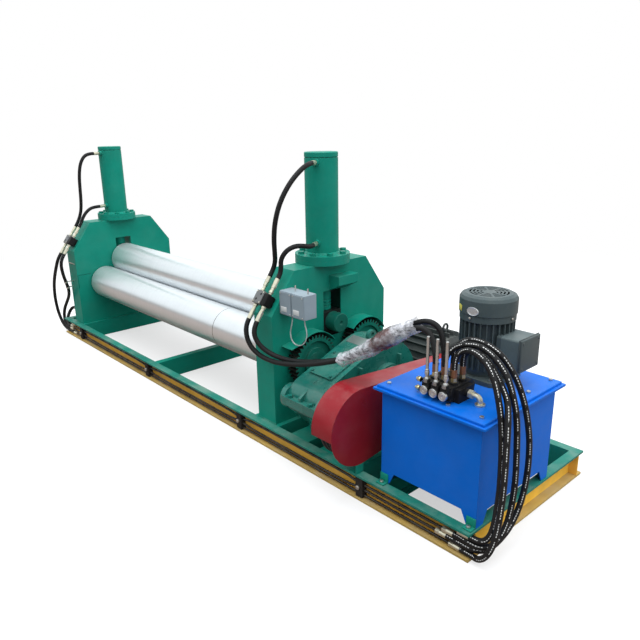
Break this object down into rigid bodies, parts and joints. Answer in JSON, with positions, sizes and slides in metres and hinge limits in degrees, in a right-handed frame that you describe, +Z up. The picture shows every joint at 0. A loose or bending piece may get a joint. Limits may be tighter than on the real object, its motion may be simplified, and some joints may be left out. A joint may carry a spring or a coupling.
{
  "type": "plate rolling machine",
  "caption": "Hydraulic plate bending rolls: upper roll pressed down between two geared lower rolls, with reducer, belt drive, oil tank and hand valve on a channel base",
  "frame": {"origin": "on the floor under the middle of the base", "axes": "X along the rolls towards the oil tank, -Y towards the operator's side, Z up"},
  "size_m": [3.4222, 1.038, 1.2036],
  "materials": {
    "paint_yellow": "satin paint on rolled channel",
    "paint_green": "semi-gloss machine enamel",
    "gear_green": "painted gear with dark greased teeth",
    "bright_steel": "turned and ground steel",
    "dark_steel": "oiled dark steel",
    "bronze": "plain bearing bronze",
    "cast_iron": "machined cast iron",
    "paint_red": "satin paint on sheet",
    "paint_blue": "glossy enamel on sheet",
    "motor_grey": "dark grey motor enamel",
    "valve_black": "black oxide castings",
    "zinc": "zinc plated steel",
    "chrome": "chromed lever",
    "switch_grey": "moulded grey plastic",
    "belt_rubber": "matt belt rubber",
    "hose_rubber": "smooth hose rubber with pale dashes",
    "wire_white": "plastic wire sheath"
  },
  "bodies": {
    "frame": {"base_front_rail": "paint_yellow", "base_rear_rail": "paint_yellow", "base_left_end": "paint_yellow", "base_right_end": "paint_yellow", "base_cross_members": "paint_green", "motor_bench": "paint_green", "idle_stand": "paint_green", "drive_stand": "paint_green", "idle_press_cylinder": "paint_green", "drive_press_cylinder": "paint_green", "front_gear_guard": "paint_green", "rear_gear_guard": "paint_green", "reducer_housing": "paint_green", "reducer_cover": "paint_green", "inspection_cover": "paint_green", "reducer_bearing_caps": "paint_green", "hydraulic_pump": "dark_steel", "steel_lines": "dark_steel", "line_clamps": "dark_steel", "lower_roll_bushes": "bronze", "belt_guard": "paint_red", "tank_body": "paint_blue", "tank_lid": "paint_blue", "pump_motor_body": "motor_grey", "pump_motor_fan_cover": "motor_grey", "main_motor": "motor_grey", "valve_body": "valve_black", "lock_valves": "zinc", "hose_fittings": "zinc", "hex_bolts": "zinc", "switch_boxes": "switch_grey", "v_belts": "belt_rubber", "hose_drive_top": "hose_rubber", "hose_drive_low": "hose_rubber", "hose_idle_top": "hose_rubber", "hose_idle_low": "hose_rubber", "hose_valve_outer": "hose_rubber", "hose_valve_inner": "hose_rubber", "hose_loop_1": "hose_rubber", "hose_loop_2": "hose_rubber", "hose_loop_3": "hose_rubber", "hose_loop_4": "hose_rubber", "hose_idle_outer": "hose_rubber", "hose_idle_inner": "hose_rubber", "hose_union": "hose_rubber", "switch_wire": "wire_white"},
    "lift": {"upper_roll_chocks": "dark_steel", "piston_rods": "bright_steel"},
    "upper_roll": {"upper_roll": "bright_steel"},
    "front_roll": {"front_lower_roll": "bright_steel", "front_roll_gear": "gear_green"},
    "rear_roll": {"rear_lower_roll": "bright_steel", "rear_roll_gear": "gear_green"},
    "pinion": {"drive_pinion": "gear_green"},
    "input_shaft": {"driven_pulley": "cast_iron"},
    "motor_rotor": {"motor_pulley": "cast_iron"},
    "pump_rotor": {"pump_rotor": "bright_steel"},
    "lever_1": {"lever_1": "chrome"},
    "lever_2": {"lever_2": "chrome"},
    "lever_3": {"lever_3": "chrome"}
  },
  "joints": [
    {"name": "upper_roll_lift", "type": "slide", "parent": "frame", "child": "lift", "axis": [0, 0, 1], "range_m": [0, 0.09]},
    {"name": "upper_roll_spin", "type": "hinge", "parent": "lift", "child": "upper_roll", "pos_m": [0, 0, 0.488], "axis": [1, 0, 0], "continuous": true},
    {"name": "input_shaft_spin", "type": "hinge", "parent": "frame", "child": "input_shaft", "pos_m": [1, -0.35, 0.28167], "axis": [1, 0, 0], "continuous": true},
    {"name": "motor_rotor_spin", "type": "hinge", "parent": "frame", "child": "motor_rotor", "pos_m": [1, 0.364, 0.292], "axis": [1, 0, 0], "continuous": true},
    {"name": "pinion_spin", "type": "hinge", "parent": "frame", "child": "pinion", "pos_m": [0.65, 0, 0.28167], "axis": [1, 0, 0], "continuous": true},
    {"name": "front_lower_roll_spin", "type": "hinge", "parent": "frame", "child": "front_roll", "pos_m": [0, -0.154, 0.356], "axis": [1, 0, 0], "continuous": true},
    {"name": "rear_lower_roll_spin", "type": "hinge", "parent": "frame", "child": "rear_roll", "pos_m": [0, 0.154, 0.356], "axis": [1, 0, 0], "continuous": true},
    {"name": "pump_rotor_spin", "type": "hinge", "parent": "frame", "child": "pump_rotor", "pos_m": [1.4, -0.015, 0.6], "axis": [0, 0, 1], "continuous": true},
    {"name": "lever_1_tilt", "type": "hinge", "parent": "frame", "child": "lever_1", "pos_m": [1.3795, -0.31, 0.53], "axis": [1, 0, 0], "range_deg": [-18, 18], "stiffness_Nm_per_rad": 2},
    {"name": "lever_2_tilt", "type": "hinge", "parent": "frame", "child": "lever_2", "pos_m": [1.416, -0.31, 0.53], "axis": [1, 0, 0], "range_deg": [-18, 18], "stiffness_Nm_per_rad": 2},
    {"name": "lever_3_tilt", "type": "hinge", "parent": "frame", "child": "lever_3", "pos_m": [1.4525, -0.31, 0.53], "axis": [1, 0, 0], "range_deg": [-18, 18], "stiffness_Nm_per_rad": 2}
  ],
  "couplings": [
    {"joint": "motor_rotor_spin", "follows": "input_shaft_spin", "ratio": 2},
    {"joint": "pinion_spin", "follows": "input_shaft_spin", "ratio": 0.031746},
    {"joint": "front_lower_roll_spin", "follows": "input_shaft_spin", "ratio": -0.018519},
    {"joint": "rear_lower_roll_spin", "follows": "input_shaft_spin", "ratio": -0.018519}
  ]
}
